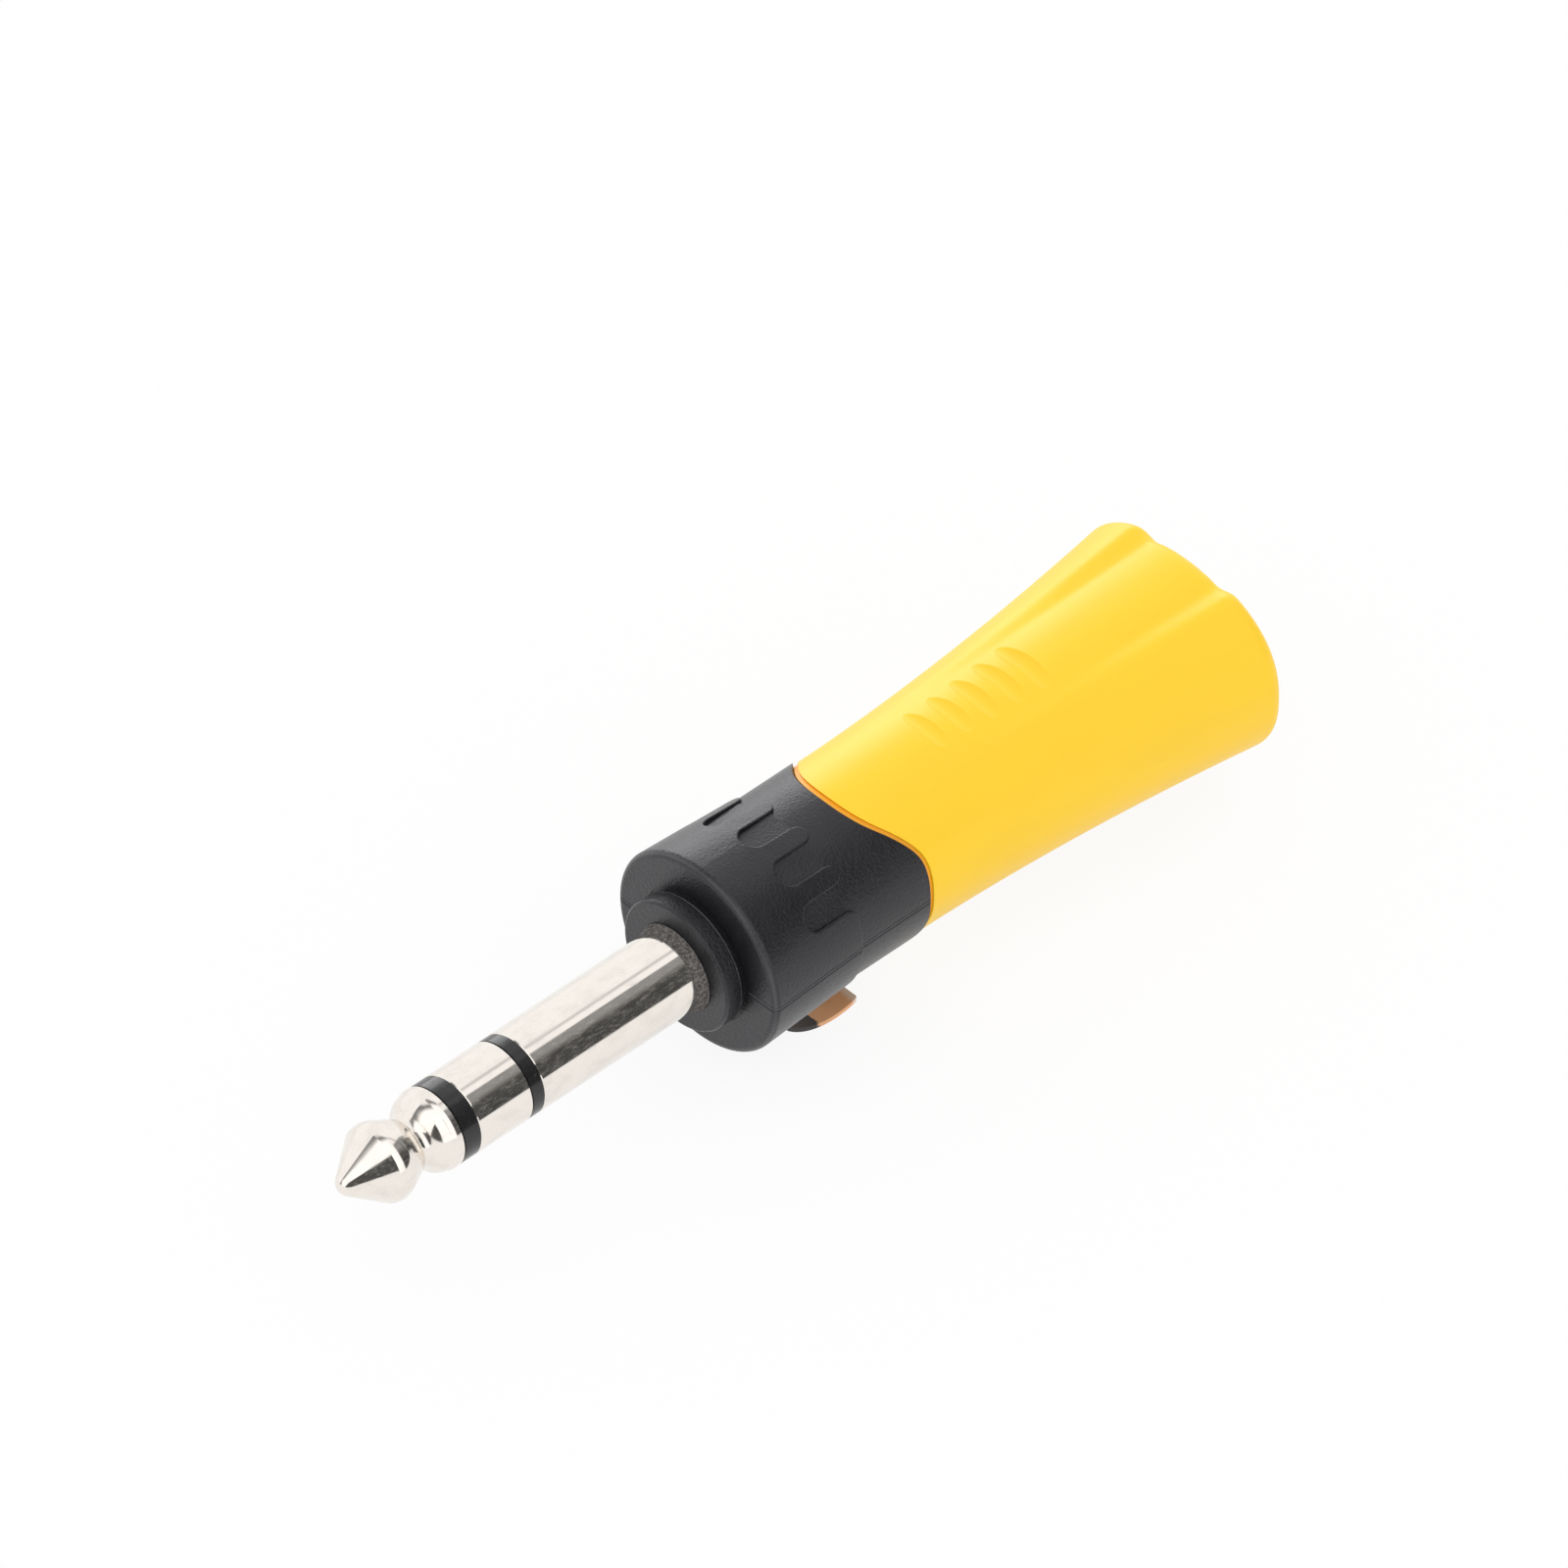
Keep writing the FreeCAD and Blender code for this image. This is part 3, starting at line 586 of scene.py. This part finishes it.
class BuildStage(JackOperator):
    """Set up the pale floor, the soft light and the camera"""

    bl_idname = "jack.build_stage"
    bl_label = "Stage"

    def make(self, scene):
        looks = scene.jack_stage
        scene.view_settings.view_transform = "Standard"
        self.floor(looks)
        self.room(scene, looks)
        self.key(scene, looks)
        self.camera(scene, looks)

    def floor(self, looks):
        """Pale floor under the lowest point of the part, clear from below."""
        bpy.ops.object.select_all(action="DESELECT")
        gap = 0.05 * MM
        bpy.ops.mesh.primitive_plane_add(size=6.0, location=(0, 0, CAD_BOX[0][2] - gap))
        floor = bpy.context.object
        floor.name = "floor"
        bpy.ops.object.mode_set(mode="EDIT")
        bpy.ops.mesh.subdivide(number_cuts=3)
        bpy.ops.object.mode_set(mode="OBJECT")
        bpy.ops.object.transform_apply(location=True, rotation=True, scale=True)

        def paper(paint):
            fibre = paint.noise((0.02, 0.02, 0.02), detail=2.0)
            tone = paint.mix(looks.floor, [value * 0.985 for value in looks.floor], fibre)
            return {"Base Color": tone, "Roughness": 1.0, "Specular IOR Level": 0.0}

        material = finish("floor_paper", paper)
        paint = Paint(material.node_tree)
        shader = material.node_tree.nodes["Principled BSDF"]
        output = material.node_tree.nodes["Material Output"]
        seen, glossy = paint.rays()
        glow = paint.node("ShaderNodeEmission", {}, {"Color": (1, 1, 1, 1), "Strength": 1.0})
        blend = paint.node("ShaderNodeMixShader", {}, [
            seen * looks.backlight + glossy * looks.mirrored, Signal(paint, shader.outputs[0]),
            Signal(paint, glow.outputs[0])])
        face = paint.node("ShaderNodeNewGeometry", {}, {})
        clear = paint.node("ShaderNodeBsdfTransparent", {}, {})
        open_below = paint.node("ShaderNodeMixShader", {}, [
            Signal(paint, face.outputs["Backfacing"]), Signal(paint, blend.outputs[0]),
            Signal(paint, clear.outputs[0])])
        material.node_tree.links.new(open_below.outputs[0], output.inputs["Surface"])
        floor.data.materials.append(material)

    def room(self, scene, looks):
        """Even light from all round, with dim and dark strips that show only in reflections."""
        world = bpy.data.worlds.new("room")
        world.use_nodes = True
        scene.world = world
        paint = Paint(world.node_tree)
        world.node_tree.nodes.clear()
        source = paint.node("ShaderNodeTexCoord", {}, {})
        x, y, z = paint.axes(Signal(paint, source.outputs["Generated"]))
        seen, glossy = paint.rays()

        def along(direction):
            """How far a ray goes in a direction."""
            return x * direction[0] + y * direction[1] + z * direction[2]

        # Narrow dim strip, with a brighter sheet on one side of it.
        ahead = x.rise(-0.45, -0.1)
        across = along((0.368, 0.898, 0.241))
        gap = (across / (ahead * 0.14 + 0.10)).hump(1.0)
        sheet = ahead * across.rise(0.1, 0.3) * 0.2
        # Broad dark flag on one side, above the floor, with a white card across its middle.
        side = along((-0.226, 0.886, -0.406))
        flag = side.rise(-0.01, 0.02) * z.rise(-0.03, 0.03)
        card = x.rise(-0.42, -0.36) * (1 - x.rise(0.44, 0.52))
        haze = (1 - side.rise(0.22, 0.50)) * (1 - x.rise(-0.3, 0.2)) * 0.22
        dark = flag * (1 - card) * (0.94 - haze)
        metal = (1.07 + sheet - gap * (ahead * 0.4 + 0.45)) * (1 - dark)
        level = looks.room * (1 - glossy) + metal * glossy
        # The camera itself sees plain white.
        strength = level * (1 - seen) + seen
        background = paint.node("ShaderNodeBackground", {}, {
            "Color": (1.0, 1.0, 1.0, 1.0), "Strength": strength})
        output = paint.node("ShaderNodeOutputWorld", {}, {})
        world.node_tree.links.new(background.outputs[0], output.inputs[0])

    def key(self, scene, looks):
        """Large soft lamp behind the part, on its plastic and on the leaf alone."""
        data = bpy.data.lights.new("soft_key", "AREA")
        data.shape = "DISK"
        data.size = 0.5
        data.energy = looks.key
        lamp = bpy.data.objects.new("soft_key", data)
        scene.collection.objects.link(lamp)
        place = (-0.345, -0.585, 0.17)
        reach = 0.68    # level distance from the lamp to the part
        lamp.location = place
        lamp.rotation_euler = (
            math.pi / 2 - math.atan2(place[2], reach), 0, -math.atan2(-place[0], -place[1]))
        lit = bpy.data.collections.new("lit_by_key")
        for name in ("head_shell", "tail_shell", "latch_leaf", "front_insulator", "rear_insulator"):
            lit.objects.link(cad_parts[name])
        lamp.light_linking.receiver_collection = lit

    def camera(self, scene, looks):
        """Long lens at the angle from which the part is shown."""
        data = bpy.data.cameras.new("camera")
        data.sensor_width = 36.0
        data.lens = looks.lens
        data.clip_start = 0.01
        data.clip_end = 20.0
        camera = bpy.data.objects.new("camera", data)
        scene.collection.objects.link(camera)
        aim = (-12.20 * MM, -0.967 * MM, 9.42 * MM)
        flat = looks.distance * math.cos(looks.elevation)
        camera.location = (
            aim[0] + flat * math.cos(looks.azimuth),
            aim[1] + flat * math.sin(looks.azimuth),
            aim[2] + looks.distance * math.sin(looks.elevation),
        )
        camera.rotation_euler = (math.pi / 2 - looks.elevation, 0, looks.azimuth + math.pi / 2)
        scene.camera = camera


STEPS = (FinishContacts, FinishBands, BuildCollar, FinishHead, FinishTail, FinishLatch,
         FinishTerminals, BuildStage)
LOOKS = {
    "jack_contacts": ContactLooks,
    "jack_collar": CollarLooks,
    "jack_head": HeadLooks,
    "jack_tail": TailLooks,
    "jack_latch": LatchLooks,
    "jack_terminals": TerminalLooks,
    "jack_stage": StageLooks,
}


class JackPanel(bpy.types.Panel):
    """Steps and settings of the jack connector."""

    bl_idname = "VIEW3D_PT_jack"
    bl_label = "Jack connector"
    bl_space_type = "VIEW_3D"
    bl_region_type = "UI"
    bl_category = "Jack"

    def draw(self, context):
        for step in STEPS:
            self.layout.operator(step.bl_idname)
        for name, looks in LOOKS.items():
            group = getattr(context.scene, name)
            box = self.layout.box()
            for key in looks.__annotations__:
                box.prop(group, key)


def register():
    """Register every class and hang the settings on the scene."""
    for looks in LOOKS.values():
        bpy.utils.register_class(looks)
    for step in STEPS:
        bpy.utils.register_class(step)
    bpy.utils.register_class(JackPanel)
    for name, looks in LOOKS.items():
        setattr(bpy.types.Scene, name, PointerProperty(type=looks))


def unregister():
    """Undo register."""
    for name in LOOKS:
        delattr(bpy.types.Scene, name)
    bpy.utils.unregister_class(JackPanel)
    for step in reversed(STEPS):
        bpy.utils.unregister_class(step)
    for looks in reversed(list(LOOKS.values())):
        bpy.utils.unregister_class(looks)


def main():
    """Run every step."""
    register()
    bpy.ops.jack.finish_contacts()
    bpy.ops.jack.finish_bands()
    bpy.ops.jack.build_collar()
    bpy.ops.jack.finish_head()
    bpy.ops.jack.finish_tail()
    bpy.ops.jack.finish_latch()
    bpy.ops.jack.finish_terminals()
    bpy.ops.jack.build_stage()


if __name__ == "__main__":
    main()
